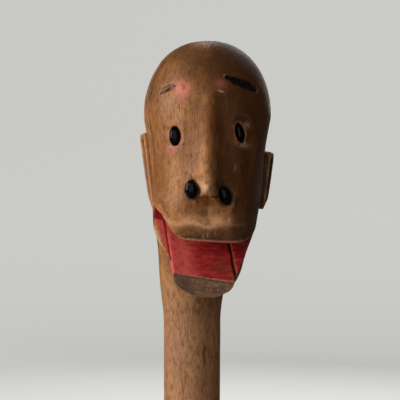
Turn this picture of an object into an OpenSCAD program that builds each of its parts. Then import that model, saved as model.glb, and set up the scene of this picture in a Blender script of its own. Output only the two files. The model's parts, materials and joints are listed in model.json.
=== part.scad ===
// Craft stick puppet: a carved wooden head with a hinged jaw, on a round stick.
// The origin is the centre of the stick's foot, +Z runs up the stick and the mouth opens towards -Y.
// A value that ends in _fwd is a distance in front of the stick's axis, so that point lies at y = -fwd.
// The head's own outline is turned to one side of the mouth's working plane, as it was carved.

/* [Stick] */
// Diameter of the stick where the hand holds it
grip_d = 24; // [20:0.5:30]
// Length of the straight grip, from the foot to where the stick begins to widen
grip_len = 166; // [120:2:170]
// How much thicker the stick is just under the chin than along the grip
neck_more = 0.8; // [0:0.1:2]
// Height of the chin's underside above the foot
chin_z = 295.5; // [240:0.5:360]
// Rounding of the foot's edge
foot_round = 2; // [1:0.5:4]

/* [Head] */
// Height from the chin to the crown
head_h = 104.3; // [86:0.5:126]
// Width at the temples
head_w = 52.6; // [46:0.2:64]
// Depth from the forehead to the back of the head
head_d = 58; // [52:0.5:70]
// Distance of the head's middle in front of the stick's axis
head_fwd = 19; // [17:0.5:21]
// Distance of the head's middle to the +X side of the stick's axis
head_side = 2.6; // [0:0.2:4]
// Turn of the carved head away from the mouth's working plane
face_turn = 12; // [0:1:14]
// Extra fullness of the cheek on the -X side
cheek_swell = 2.8; // [1.8:0.1:3.6]
// Height of the nose above the face
nose_h = 7.4; // [4:0.2:10]

/* [Mouth] */
// Height of the mouth's corner above the chin
mouth_rise = 31; // [26:0.5:36]
// Distance of the glue line between face and back in front of the stick's axis
seam_fwd = 24.4; // [22:0.2:27]
// Downward slope of the mouth's roof
roof_slope = 22.5; // [18:0.5:26]
// Downward slope of the open jaw
jaw_slope = 46.5; // [42:0.5:50]
// Width of the jaw
jaw_w = 24.7; // [21:0.1:26]
// Thickness of the jaw
jaw_t = 12; // [9:0.2:14]
// Distance from the hinge pin to the chin's front face
jaw_reach = 29.6; // [26:0.2:34]
// Distance of the jaw's middle to the -X side of the stick's axis
jaw_side = 3.85; // [2:0.05:4.5]
// Amount that the jaw narrows on its +X side, from the hinge pin to the chin
jaw_taper = 1; // [0.2:0.1:1.6]
// Gap round the jaw's knuckle where it swings
jaw_gap = 0.4; // [0.3:0.1:0.8]
// Gap between jaw and cheek on the -X side
snug_gap = 0.15; // [0.1:0.05:0.6]
// Gap between jaw and cheek on the +X side, at the hinge pin
side_gap = 0.3; // [0.2:0.1:1]
// Distance that the throat under the jaw stays behind the chin's face
throat_back = 4; // [3:0.5:8]

/* [Hinge and lever] */
// Diameter of the hinge pin
pin_d = 3; // [2:0.1:4]
// Clearance between the hinge pin and the jaw's bore, on the radius
pin_play = 0.05; // [0.02:0.01:0.1]
// Depth that the pin goes into the cheek on the -X side
pin_bite = 1.8; // [1:0.1:2.2]
// Depth that the pin goes into the cheek on the +X side
pin_bite_right = 8; // [4:0.5:9]
// Thickness of the brass lever
lever_t = 1.6; // [1:0.1:2.4]
// Height of the lever
lever_h = 5; // [4:0.2:7]
// Length of the lever's tail in the jaw
lever_tail = 15; // [12:0.5:20]
// Clearance between lever and pull wire, sideways
lever_play = 0.5; // [0.3:0.1:1]
// Clearance of the pull wire's hook in the lever's eye, on the radius
eye_play = 0.4; // [0.3:0.1:0.8]
// Diameter of the rivet that locks the lever in the jaw
rivet_d = 1.6; // [1.2:0.1:2]
// Distance from the hinge pin to the rivet
rivet_fwd = 10.5; // [9:0.5:11]
// Clearance between the nape's slot and the hook
slot_play = 0.5; // [0.3:0.1:1]

/* [Pull wire] */
// Diameter of the pull wire
wire_d = 1.4; // [1:0.1:1.8]
// Depth of the wire's centre under the back of the grip
wire_sink = 2.4; // [2.2:0.1:3]
// Width of the groove that the wire runs in
groove_w = 2.4; // [2.2:0.1:3]
// Distance that the hook stands out of the lever
hook_proud = 0.4; // [0.2:0.1:0.8]
// Radius of the finger ring, to the wire's centre
ring_r = 11; // [9:0.5:14]
// Height of the finger ring's centre above the foot
ring_z = 196; // [180:1:204]
// Diameter of the staples' wire
staple_d = 1; // [0.8:0.1:1.3]
// Distance between the middles of a staple's two legs
staple_w = 5; // [4.6:0.2:7]
// Height of a staple's arch over the wood
staple_proud = 0.8; // [0.4:0.1:1.5]
// Length of a staple's straight legs
staple_leg = 6; // [4:0.5:8]

/* [Return spring] */
// Outer diameter of the spring
spring_d = 4; // [3.6:0.1:4.4]
// Diameter of the spring's wire
spring_wire = 0.5; // [0.3:0.05:0.6]
// Length of the spring at rest
spring_len = 34; // [31:1:36]
// Turns of the spring
spring_turns = 15; // [8:1:18]
// Height of the spring's lower end above the foot
spring_z = 232; // [226:1:236]
// Clearance between the spring and its pocket, on the radius
pocket_play = 0.4; // [0.3:0.1:0.8]
// Diameter of the collar that the spring pushes on
collar_d = 3.6; // [3:0.1:4]
// Height of the collar
collar_h = 4; // [2:0.5:5]

/* [Eyes, nostrils and ears] */
// Width of an eye
eye_w = 4.6; // [3.6:0.2:6]
// Height of an eye
eye_h = 7.8; // [6.2:0.2:10]
// Height of a nostril
nostril_h = 7.6; // [6:0.2:10]
// Width of a nostril
nostril_w = 5; // [4:0.2:5.8]
// Depth of an eye's or nostril's socket in the wood
socket_depth = 5; // [4.5:0.5:7]
// Thickness of the black glass in a socket
glass_t = 2.8; // [1.6:0.2:3]
// Height of the ear on the -X side
ear_h = 32; // [26:0.5:36]
// Difference in height between the two ears
ear_short = 8; // [0:0.5:9]
// Width of an ear, from front to back
ear_w = 15; // [13:0.5:18]
// Thickness of an ear
ear_t = 6.4; // [5:0.2:8]
// Diameter of the ears' pegs
peg_d = 3; // [2.4:0.2:4]
// Length of the ears' pegs
peg_len = 8; // [6:0.5:10]
// Diameter of the dowels between face and back
dowel_d = 5; // [4:0.2:6]
// Length of the dowels between face and back
dowel_len = 16; // [12:1:18]

/* [Hidden] */

wood = "peru";
red_paint = "firebrick";
black_glass = "black";
steel = "silver";
brass = "goldenrod";
dowel_wood = "tan";

fine = 64;
far = 200;

// Side profile of the mouth, in the plane of fwd and z. The knuckle is a circle that touches the
// mouth's cut from below when the jaw is open, and its roof when the jaw is shut.
corner = [seam_fwd, chin_z + mouth_rise];
knuckle_r = jaw_t / 2;
jaw_swing = jaw_slope - roof_slope;
mid_slope = (jaw_slope + roof_slope) / 2;
pivot = corner - (knuckle_r + jaw_gap) / cos(jaw_swing / 2) * [sin(mid_slope), cos(mid_slope)];
jaw_dir = [cos(jaw_slope), -sin(jaw_slope)];
jaw_up = [sin(jaw_slope), cos(jaw_slope)];
shoulder_share = 0.7;
jaw_shoulder = shoulder_share * knuckle_r;
jaw_x0 = -jaw_side - jaw_w / 2;
jaw_x1 = -jaw_side + jaw_w / 2;
slot_x0 = jaw_x0 - snug_gap;
slot_x1 = jaw_x1 + side_gap;
pin_x0 = slot_x0 - pin_bite;
pin_x1 = slot_x1 + pin_bite_right;

// The pull wire runs down the back on the stick's own plane, and the lever stands just beside it.
wire_r = wire_d / 2;
wire_fwd = -(grip_d / 2 - wire_sink);
hook_bend = wire_r + lever_play;
lever_arm = pivot[0] - wire_fwd;
lever_x = -(wire_r + lever_play + lever_t / 2);
hook_x0 = lever_x - lever_t / 2 - hook_proud;
nape_slot_w = 2 * (slot_play - hook_x0);
wire_travel = 2 * lever_arm * tan(jaw_swing / 2);
wire_top = pivot[1] + wire_travel / 2;
eye_r = wire_r + eye_play;
eye_run = lever_arm * (1 / cos(jaw_swing / 2) - 1);
lever_wall = 1.2;
lever_disc_r = knuckle_r - lever_wall;
rivet_grip = 3;
nape_ease = 0.2 * lever_h;
nape_half = wire_travel / 2 + lever_h / 2 + nape_ease;
groove_low = ring_z - ring_r - wire_travel;
ring_arc = 320;
collar_z = spring_z + spring_len;
collar_clear = 1;
pocket_h = spring_len + collar_h + collar_clear;
spring_pocket = spring_d + 2 * pocket_play;
spring_slack = 0.1;
spring_steps = 12;
spring_sides = 6;
staple_under = 10;
staple_over = 6;
staple_z = [spring_z - staple_under, spring_z + pocket_h + staple_over];
neck_d = grip_d + neck_more;
taper_end = 9;
taper_high = chin_z - taper_end;
dowel_x = head_side;
dowel_low = 18;
dowel_high = 54;
dowel_z = [corner[1] + dowel_low, corner[1] + dowel_high];
dowel_slack = 0.5;

// Eyes and nostrils: distance to the side, height above the chin, and tilt in degrees.
eye_left_at = [-12.8, 63.6, 2];
eye_right_at = [12.6, 64.8, -4];
nostril_left_at = [-6.2, 42.6, 4];
nostril_right_at = [6.6, 40.2, -14];
socket_open = 20;

// Place of the ears: the outer face's distance to the side at the foot, its lean and its toe-in.
ear_out_left = 22.7;
ear_out_right = 23.6;
ear_back = 1.5;
ear_foot_z = chin_z + 34.5;
ear_lean = 7;
ear_toe = 9;
ear_corner = 3;
lobe_share = 0.25;

module along_x(x0, x1)
    translate([x1, 0, 0]) rotate([90, 0, -90]) linear_extrude(x1 - x0) children();

// A bar that runs along X through a point of the side profile.
module bar_x(at, d, x0, x1)
    translate([x0, -at[0], at[1]]) rotate([0, 90, 0]) cylinder(h = x1 - x0, d = d, $fn = fine);

// ---- The carved outline of the head ----

// A smooth curve through the rows [t, value] of a table.
function row(t, table, i = 0) =
    i >= len(table) - 2 || t < table[i + 1][0] ? i : row(t, table, i + 1);
function tangent(table, i) =
    let (a = max(i - 1, 0), b = min(i + 1, len(table) - 1))
    (table[b][1] - table[a][1]) / (table[b][0] - table[a][0]);
function curve(t, table) =
    let (
        i = row(t, table),
        span = table[i + 1][0] - table[i][0],
        s = min(max((t - table[i][0]) / span, 0), 1)
    )
    (2 * s^3 - 3 * s^2 + 1) * table[i][1] + (s^3 - 2 * s^2 + s) * span * tangent(table, i)
    + (3 * s^2 - 2 * s^3) * table[i + 1][1] + (s^3 - s^2) * span * tangent(table, i + 1);

// Shares of the head's height, from the chin, and of its width and depth there, up to the temples.
temple = 0.7;
width_rows = [[0, 0.2], [0.05, 0.42], [0.12, 0.53], [0.19, 0.625], [0.25, 0.73], [0.3, 0.775],
    [0.42, 0.86], [0.57, 0.91], [temple, 1]];
front_rows = [[0, 0.31], [0.05, 0.43], [0.12, 0.485], [0.2, 0.505], [0.3, 0.5], [0.42, 0.48],
    [0.57, 0.463], [temple, 0.452]];
back_rows = [[0, 0.02], [0.05, 0.2], [0.12, 0.35], [0.2, 0.42], [0.3, 0.47], [0.42, 0.51],
    [0.57, 0.535], [temple, 0.535]];

// The muzzle and the cheeks are square in plan and the brow is round.
power_rows = [[0, 5], [0.16, 5], [0.22, 3.8], [0.3, 3], [0.38, 2.4], [0.45, 1.92], [temple, 1.92]];
function front_power(t) = curve(min(t, temple), power_rows);

// Above the temples the head is a dome, a little squarer than an ellipse.
dome_power = 2.15;
crown_back = 0.035;
function dome(t) = t <= temple ? 1 : (1 - ((t - temple) / (1 - temple))^dome_power)^(1 / dome_power);
function half_width(t) = head_w / 2 * curve(min(t, temple), width_rows) * dome(t);
function lean(t) = crown_back * (1 - dome(t));
function front_depth(t) = head_d * (curve(min(t, temple), front_rows) * dome(t) - lean(t));
function back_depth(t) = head_d * (curve(min(t, temple), back_rows) * dome(t) + lean(t));

// The nose is a ridge that starts at the brow, grows to the tip and ends above the lip.
nose_rows = [[0.34, 0], [0.365, 0.2], [0.385, 0.84], [0.41, 1], [0.44, 0.87], [0.5, 0.57], [0.6, 0.3],
    [0.7, 0.11], [0.79, 0]];
nose_width_rows = [[0.34, 7.8], [0.41, 7.4], [0.45, 6.2], [0.5, 4.6], [0.6, 3.6], [0.79, 3]];
function nose(u, t) =
    t < 0.34 || t > 0.79 ? 0
    : nose_h * curve(t, nose_rows) * exp(-(abs(u) / curve(t, nose_width_rows))^2.2);

// The upper lip swells a little, and its lower edge is bevelled.
function lip(u, t) =
    (1.4 * exp(-((t - 0.262) / 0.03)^2) - 2.4 * exp(-((t - 0.205) / 0.018)^2)) * exp(-(u / 17)^4);

// The cheek on the -X side is carved fuller, where the jaw's slot comes nearest to it.
function left_swell(t) = cheek_swell * exp(-((t - 0.23) / 0.12)^2);

ring_points_front = 44;
ring_points_back = 28;
function ring_angles() = concat(
    [for (i = [0:ring_points_front - 1]) 180 + 180 * i / ring_points_front],
    [for (i = [0:ring_points_back - 1]) 180 * i / ring_points_back]);
function signed_power(v, p) = sign(v) * abs(v)^p;

function head_ring(t) = [
    for (angle = ring_angles())
    let (
        is_front = sin(angle) < 0,
        square = is_front ? front_power(t) : 2.2,
        side = signed_power(cos(angle), 2 / square),
        u = side * (half_width(t) + (side < 0 ? left_swell(t) : 0)),
        reach = is_front ? front_depth(t) : back_depth(t),
        relief = is_front ? (nose(u, t) + lip(u, t)) * abs(sin(angle))^0.5 : 0
    )
    [u, signed_power(sin(angle), 2 / square) * reach - relief, chin_z + t * head_h]];

module loft(rings) {
    n = len(rings[0]);
    top = len(rings) - 1;
    polyhedron(
        points = [for (ring = rings) for (p = ring) p],
        faces = concat(
            [[for (i = [0:n - 1]) i]],
            [[for (i = [n - 1:-1:0]) top * n + i]],
            [for (k = [0:top - 1]) for (i = [0:n - 1])
                [k * n + i, (k + 1) * n + i, (k + 1) * n + (i + 1) % n]],
            [for (k = [0:top - 1]) for (i = [0:n - 1])
                [k * n + i, (k + 1) * n + (i + 1) % n, k * n + (i + 1) % n]]));
}

face_rings = 38;
dome_rings = 14;
module head_place() translate([head_side, -head_fwd, 0]) rotate([0, 0, -face_turn]) children();
module head_form() head_place() loft(concat(
    [for (k = [0:face_rings - 1]) head_ring(temple * k / face_rings)],
    [for (k = [0:dome_rings - 1]) head_ring(temple + (1 - temple) * sin(90 * k / dome_rings))]));

// ---- Cuts that more than one part shares ----

// Everything in front of the glue line and above a sloping plane through the mouth's corner.
module ahead_of_seam(slope) along_x(-far, far) polygon([
    corner, corner + far * [cos(slope), -sin(slope)], corner + far * [cos(slope), 1], corner + [0, far]]);

module hinge_bore(d, x0, x1) bar_x(pivot, d, x0, x1);

module face_dowels() color(dowel_wood)
    for (z = dowel_z) dowel(z, dowel_len);
module dowel(z, length)
    translate([dowel_x, -seam_fwd - length / 2, z]) rotate([-90, 0, 0])
        cylinder(h = length, d = dowel_d, $fn = fine);
module dowel_holes()
    for (z = dowel_z) dowel(z, dowel_len + 2 * dowel_slack);

// ---- Jaw and lever ----

// The jaw's own axes: -Y runs from the pivot to the chin and +Z stands on the red face.
module at_jaw() translate([0, -pivot[0], pivot[1]]) rotate([jaw_slope, 0, 0]) children();

// The jaw's cross section is a D that lies on its back, with the flat side up.
module jaw_section() translate([-jaw_side, 0]) polygon(concat(
    [[jaw_w / 2, knuckle_r], [-jaw_w / 2, knuckle_r]],
    [for (a = [180:10:360])
        [jaw_w / 2 * cos(a), jaw_shoulder + (knuckle_r + jaw_shoulder) * sin(a)]]));

module lever_profile(grow = 0) translate(pivot) {
    circle(r = lever_disc_r, $fn = fine);
    rotate(180 - jaw_swing / 2) translate([0, -lever_h / 2]) square([lever_arm + eye_run, lever_h]);
    rotate(180 - jaw_swing / 2) translate([lever_arm + eye_run, 0]) circle(d = lever_h, $fn = fine);
    rotate(-jaw_slope) translate([0, -lever_h / 2]) square([lever_tail, lever_h]);
}
module lever_blank() along_x(lever_x - lever_t / 2, lever_x + lever_t / 2) lever_profile();

module lever_rivet() color(brass) rivet();
module rivet() at_jaw() translate([jaw_x0, -rivet_fwd, 0]) rotate([0, 90, 0])
    cylinder(h = lever_x + lever_t / 2 + rivet_grip - jaw_x0, d = rivet_d, $fn = fine);

module lever() color(brass) difference() {
    lever_blank();
    along_x(lever_x - lever_t, lever_x + lever_t) translate(pivot) {
        circle(d = pin_d + 2 * pin_play, $fn = fine);
        rotate(180 - jaw_swing / 2) {
            translate([lever_arm, 0]) circle(r = eye_r, $fn = fine);
            translate([lever_arm, -eye_r]) square([eye_run, 2 * eye_r]);
            translate([lever_arm + eye_run, 0]) circle(r = eye_r, $fn = fine);
        }
    }
    rivet();
}

module jaw() color(red_paint) difference() {
    union() {
        bar_x(pivot, 2 * knuckle_r, jaw_x0, jaw_x1);
        intersection() {
            at_jaw() rotate([90, 0, 0]) linear_extrude(2 * jaw_reach) jaw_section();
            at_jaw() translate([-jaw_side, -jaw_reach, 0]) rotate([0, 0, -face_turn])
                translate([-far / 2, 0, -far / 2]) cube(far);
        }
    }
    at_jaw() translate([jaw_x1, 0, 0]) rotate([0, 0, -atan(jaw_taper / jaw_reach)])
        translate([0, -far, -far / 2]) cube([far, far, far]);
    hinge_bore(pin_d + 2 * pin_play, jaw_x0 - 1, jaw_x1 + 1);
    lever_blank();
    rivet();
}

module hinge_pin() color(steel) hinge_bore(pin_d, pin_x0, pin_x1);

// The slot that the jaw swings in: open above the jaw, closed by the throat below it, and
// open in front of the throat's end. The jaw swings up to the roof.
module jaw_slot() {
    k = knuckle_r + jaw_gap;
    throat_end = pivot + (jaw_reach - throat_back) * jaw_dir - k * jaw_up;
    along_x(slot_x0, slot_x1) polygon([
        pivot,
        pivot + k * [sin(roof_slope), cos(roof_slope)],
        corner,
        corner + far * jaw_dir,
        throat_end - [0, far],
        throat_end,
        pivot - k * jaw_up]);
    bar_x(pivot, 2 * k, slot_x0, slot_x1);
}

// The wedge-shaped slot through the nape that the lever swings in.
module nape_slot() {
    widen = (nape_half - lever_h / 2) / lever_arm;
    reach = pivot[0] + grip_d;
    along_x(-nape_slot_w / 2, nape_slot_w / 2) polygon([
        pivot + [0, lever_h / 2],
        pivot + [0, -lever_h / 2],
        pivot + [-reach, -lever_h / 2 - reach * widen],
        pivot + [-reach, lever_h / 2 + reach * widen]]);
}

// ---- Pull wire, spring and staples ----

module at_wire(z) translate([0, -wire_fwd, z]) children();

module pull_wire() color(steel) {
    at_wire(ring_z) cylinder(h = wire_top - hook_bend - ring_z, d = wire_d, $fn = fine);
    at_wire(wire_top - hook_bend) translate([-hook_bend, 0, 0]) rotate([90, 0, 0])
        rotate_extrude(angle = 90, $fn = fine) translate([hook_bend, 0]) circle(d = wire_d, $fn = fine);
    at_wire(wire_top) translate([hook_x0, 0, 0]) rotate([0, 90, 0])
        cylinder(h = -hook_bend - hook_x0, d = wire_d, $fn = fine);
    at_wire(ring_z) translate([0, ring_r, 0]) rotate([90, 0, -90])
        mirror([0, 1, 0]) rotate_extrude(angle = ring_arc, $fn = fine)
            translate([ring_r, 0]) circle(d = wire_d, $fn = fine);
}

module wire_collar() color(brass) at_wire(collar_z) difference() {
    cylinder(h = collar_h, d = collar_d, $fn = fine);
    translate([0, 0, -1]) cylinder(h = collar_h + 2, d = wire_d, $fn = fine);
}

module return_spring() color(steel) at_wire(spring_z) {
    coil_r = (spring_d - spring_wire) / 2;
    low = spring_wire / 2 + spring_slack;
    rise = spring_len - 2 * low;
    loft([for (k = [0:spring_turns * spring_steps])
        let (turn = 360 * k / spring_steps, z = low + rise * k / (spring_turns * spring_steps))
        [for (j = [0:spring_sides - 1])
            let (a = -360 * j / spring_sides, r = coil_r + spring_wire / 2 * cos(a))
            [r * cos(turn), r * sin(turn), z + spring_wire / 2 * sin(a)]]]);
}

function stick_r(z) =
    grip_d / 2 + (neck_d - grip_d) / 2 * (z - grip_len) / (taper_high - grip_len);

// A staple is a flat arch with two straight legs. Its wood is cut with the same shape.
module staple(z) {
    inner_r = staple_w / 2 - staple_d / 2;
    outer_r = staple_w / 2 + staple_d / 2;
    arch_y = stick_r(z) + staple_proud - outer_r;
    translate([0, arch_y, z - staple_d / 2]) linear_extrude(staple_d) difference() {
        union() {
            circle(r = outer_r, $fn = fine);
            translate([-outer_r, -staple_leg]) square([2 * outer_r, staple_leg]);
        }
        circle(r = inner_r, $fn = fine);
        translate([-inner_r, -staple_leg - 1]) square([2 * inner_r, staple_leg + 1]);
    }
}
module staples() for (z = staple_z) staple(z);
module wire_staples() color(steel) staples();

module wire_channel() {
    groove_h = pivot[1] - groove_low;
    at_wire(groove_low) {
        cylinder(h = groove_h, d = groove_w, $fn = fine);
        translate([-groove_w / 2, 0, 0]) cube([groove_w, grip_d, groove_h]);
    }
    at_wire(spring_z) {
        cylinder(h = pocket_h, d = spring_pocket, $fn = fine);
        translate([-spring_pocket / 2, 0, 0]) cube([spring_pocket, grip_d, pocket_h]);
    }
}

// ---- Ears ----

// An ear seen from the side: a flat top, a straight front edge and a back that runs in to the lobe.
module ear_outline(h) polygon(concat(
    [[0, 0], [0, h], [ear_w - ear_corner, h]],
    [for (a = [75:-15:0])
        [ear_w - ear_corner + ear_corner * cos(a), h - ear_corner + ear_corner * sin(a)]],
    [for (a = [0:9:81])
        [ear_w * (lobe_share + (1 - lobe_share) * cos(a)), (h - 2 * ear_corner) * (1 - sin(a))]]));

// side is -1 for the ear on the -X side and 1 for the other one. The ear's own axes have the outer
// face at X = 0 and the front edge at Y = 0.
module at_ear(side) head_place() translate([side < 0 ? -ear_out_left : ear_out_right, ear_back, ear_foot_z])
    rotate([0, side * ear_lean, -side * ear_toe]) children();
module ear(side, h) at_ear(side) rotate([90, 0, 90]) translate([0, 0, side > 0 ? -ear_t : 0])
    linear_extrude(ear_t) ear_outline(h);
module ear_left() color(wood) difference() {
    ear(-1, ear_h);
    peg(-1);
}
module ear_right() color(wood) difference() {
    ear(1, ear_h - ear_short);
    peg(1);
}
module peg(side) at_ear(side) translate([-side * ear_t / 2, ear_w / 3, ear_h / 3]) rotate([0, -side * 90, 0])
    cylinder(h = peg_len, d = peg_d, $fn = fine);
module ear_pegs() color(dowel_wood) for (side = [-1, 1]) peg(side);

// ---- Eyes and nostrils ----

// Distance of the face's surface in front of the head's middle.
function face_reach(u, t) =
    front_depth(t) * (1 - (abs(u) / half_width(t))^front_power(t))^(1 / front_power(t)) + nose(u, t);

// The outline of an eye or a nostril: a straight slot with round ends.
module slot_2d(w, h) {
    translate([0, (h - w) / 2]) circle(d = w, $fn = fine);
    translate([0, -(h - w) / 2]) circle(d = w, $fn = fine);
    translate([-w / 2, -(h - w) / 2]) square([w, h - w]);
}
module inlay(at, w, h, from, to) head_place()
    translate([at[0], -face_reach(at[0], at[1] / head_h), chin_z + at[1]])
    rotate([90, -at[2], 0]) translate([0, 0, -from]) linear_extrude(from - to) slot_2d(w, h);
module glass(at, w, h) color(black_glass) inlay(at, w, h, socket_depth, socket_depth - glass_t);
module socket(at, w, h) inlay(at, w, h, socket_depth, -socket_open);
module sockets() {
    socket(eye_left_at, eye_w, eye_h);
    socket(eye_right_at, eye_w, eye_h);
    socket(nostril_left_at, nostril_w, nostril_h);
    socket(nostril_right_at, nostril_w, nostril_h);
}
module eye_left() glass(eye_left_at, eye_w, eye_h);
module eye_right() glass(eye_right_at, eye_w, eye_h);
module nostril_left() glass(nostril_left_at, nostril_w, nostril_h);
module nostril_right() glass(nostril_right_at, nostril_w, nostril_h);

// ---- Stick, with the back of the head and the cheeks in one piece ----

// Rows of the neck: height above the chin, share of the neck's radius, and distance forward.
neck_rows = [[-12, 0.98, 0], [-7, 1.04, 0], [2, 1.13, 1.2], [9, 1.19, 2.2], [16, 1.22, 3],
    [24, 1.32, 4.4], [34, 1.47, 6.3], [44, 1.42, 9], [52, 1.27, 13]];
module neck_flare() {
    steps = 40;
    loft([for (r = neck_rows) [for (i = [0:steps - 1])
        let (a = 360 * i / steps, radius = neck_d / 2 * r[1])
        [radius * cos(a), radius * sin(a) - r[2], chin_z + r[0]]]]);
}

module shaft() {
    cylinder(h = foot_round, d1 = grip_d - 2 * foot_round, d2 = grip_d, $fn = fine);
    translate([0, 0, foot_round]) cylinder(h = grip_len - foot_round, d = grip_d, $fn = fine);
    translate([0, 0, grip_len])
        cylinder(h = taper_high - grip_len, d1 = grip_d, d2 = neck_d, $fn = fine);
}

module stick() color(wood) difference() {
    union() {
        shaft();
        neck_flare();
        head_form();
    }
    ahead_of_seam(jaw_slope);
    jaw_slot();
    hinge_bore(pin_d, pin_x0, far);
    nape_slot();
    wire_channel();
    staples();
    dowel_holes();
    ear(-1, ear_h);
    ear(1, ear_h - ear_short);
    ear_pegs();
}

module face() color(wood) difference() {
    intersection() {
        head_form();
        ahead_of_seam(roof_slope);
    }
    dowel_holes();
    sockets();
}

stick();
face();
jaw();
hinge_pin();
lever();
lever_rivet();
pull_wire();
wire_collar();
return_spring();
wire_staples();
face_dowels();
ear_left();
ear_right();
ear_pegs();
eye_left();
eye_right();
nostril_left();
nostril_right();
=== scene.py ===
import json
import math

import bmesh
import bpy
import numpy as np
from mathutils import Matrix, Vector, kdtree


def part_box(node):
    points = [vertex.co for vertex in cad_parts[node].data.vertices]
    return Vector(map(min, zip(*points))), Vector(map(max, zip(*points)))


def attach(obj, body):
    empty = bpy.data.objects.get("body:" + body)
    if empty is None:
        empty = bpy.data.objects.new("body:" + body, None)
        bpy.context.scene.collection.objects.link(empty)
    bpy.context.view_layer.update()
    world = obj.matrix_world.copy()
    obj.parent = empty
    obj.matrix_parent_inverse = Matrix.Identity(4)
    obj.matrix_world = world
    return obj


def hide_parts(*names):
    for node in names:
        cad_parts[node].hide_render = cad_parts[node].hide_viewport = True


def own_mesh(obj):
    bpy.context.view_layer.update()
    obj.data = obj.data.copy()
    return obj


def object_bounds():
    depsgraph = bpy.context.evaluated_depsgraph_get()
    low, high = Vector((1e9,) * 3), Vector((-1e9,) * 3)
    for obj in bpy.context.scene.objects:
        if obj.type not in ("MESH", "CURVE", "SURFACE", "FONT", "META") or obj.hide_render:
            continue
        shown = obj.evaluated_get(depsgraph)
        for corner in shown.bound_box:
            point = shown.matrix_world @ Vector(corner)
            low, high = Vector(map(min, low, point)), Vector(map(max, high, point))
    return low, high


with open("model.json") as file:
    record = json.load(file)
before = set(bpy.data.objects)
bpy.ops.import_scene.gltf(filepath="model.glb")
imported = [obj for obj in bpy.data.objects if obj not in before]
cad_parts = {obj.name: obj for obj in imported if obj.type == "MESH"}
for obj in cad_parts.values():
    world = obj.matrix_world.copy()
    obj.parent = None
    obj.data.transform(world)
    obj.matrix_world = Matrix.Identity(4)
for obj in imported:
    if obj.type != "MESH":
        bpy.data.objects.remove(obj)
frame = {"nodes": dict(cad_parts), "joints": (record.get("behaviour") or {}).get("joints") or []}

cad_low, cad_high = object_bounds()

# ---- Camera ----
# A short portrait lens that looks at the head from a little to its right hand side, level with the nose.
# The stick's axis stands just left of the middle of the view.
camera_turn = math.radians(-12)
camera_distance = 0.45
camera_lens = 94
film_width = 36
nearest_seen = 0.02
aim_beside_stick = 0.00345
aim_over_nostril = 0.002
aim_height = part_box("nostril_right")[0].z + aim_over_nostril

to_camera = Vector((math.sin(camera_turn), -math.cos(camera_turn), 0))
camera_right = Vector((math.cos(camera_turn), math.sin(camera_turn), 0))
aim = camera_right * aim_beside_stick + Vector((0, 0, aim_height))
camera = bpy.data.objects.new("camera", bpy.data.cameras.new("camera"))
camera.data.lens = camera_lens
camera.data.sensor_width = film_width
camera.data.clip_start = nearest_seen
camera.location = aim + to_camera * camera_distance
camera.rotation_euler = (-to_camera).to_track_quat("-Z", "Y").to_euler()
bpy.context.collection.objects.link(camera)
bpy.context.scene.camera = camera

# ---- Studio ----
# A pale matt bowl: a round floor that curves up into a wall all the way round, so that every
# view has the same plain background. It throws little light back, so the head keeps a dark side
# beside the one large soft light on the -X side.
bowl_floor = 1.7
bowl_bend = 0.5
bowl_height = 2.6
bowl_colour = (0.8, 0.81, 0.785, 1)
bowl_glow = 0.46
bowl_shade = (0.22, 0.2, 0.18, 1)
bowl_roughness = 0.95
bowl_shine = 0.1
bowl_spokes = 96
bowl_bend_steps = 9
weld_distance = 1e-5

bowl_profile = [(0.0, 0.0), (bowl_floor, 0.0)]
for step in range(1, bowl_bend_steps + 1):
    bent = math.radians(90 * step / bowl_bend_steps)
    bowl_profile.append((bowl_floor + bowl_bend * math.sin(bent), bowl_bend * (1 - math.cos(bent))))
bowl_profile.append((bowl_floor + bowl_bend, bowl_height))
bowl_mesh = bmesh.new()
profile_verts = [bowl_mesh.verts.new((r, 0, z)) for r, z in bowl_profile]
profile_edges = [bowl_mesh.edges.new(pair) for pair in zip(profile_verts, profile_verts[1:])]
bmesh.ops.spin(
    bowl_mesh, geom=profile_verts + profile_edges, axis=(0, 0, 1), cent=(0, 0, 0),
    angle=2 * math.pi, steps=bowl_spokes, use_merge=True,
)
bmesh.ops.remove_doubles(bowl_mesh, verts=bowl_mesh.verts, dist=weld_distance)
bmesh.ops.recalc_face_normals(bowl_mesh, faces=bowl_mesh.faces)
bowl = bpy.data.objects.new("studio_bowl", bpy.data.meshes.new("studio_bowl"))
bowl_mesh.to_mesh(bowl.data)
bowl_mesh.free()
bowl.data.shade_smooth()
bpy.context.collection.objects.link(bowl)
bowl_paint = bpy.data.materials.new("studio_paint")
bowl_paint.use_nodes = True
paint_nodes = bowl_paint.node_tree.nodes
paint_links = bowl_paint.node_tree.links
seen = paint_nodes["Principled BSDF"]
seen.inputs["Base Color"].default_value = bowl_colour
seen.inputs["Roughness"].default_value = bowl_roughness
seen.inputs["Specular IOR Level"].default_value = bowl_shine
seen.inputs["Emission Color"].default_value = bowl_colour
seen.inputs["Emission Strength"].default_value = bowl_glow
unseen = paint_nodes.new("ShaderNodeBsdfDiffuse")
unseen.inputs["Color"].default_value = bowl_shade
who_looks = paint_nodes.new("ShaderNodeLightPath")
pick = paint_nodes.new("ShaderNodeMixShader")
paint_links.new(who_looks.outputs["Is Camera Ray"], pick.inputs[0])
paint_links.new(unseen.outputs[0], pick.inputs[1])
paint_links.new(seen.outputs[0], pick.inputs[2])
paint_links.new(pick.outputs[0], paint_nodes["Material Output"].inputs["Surface"])
bowl.data.materials.append(bowl_paint)


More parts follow.
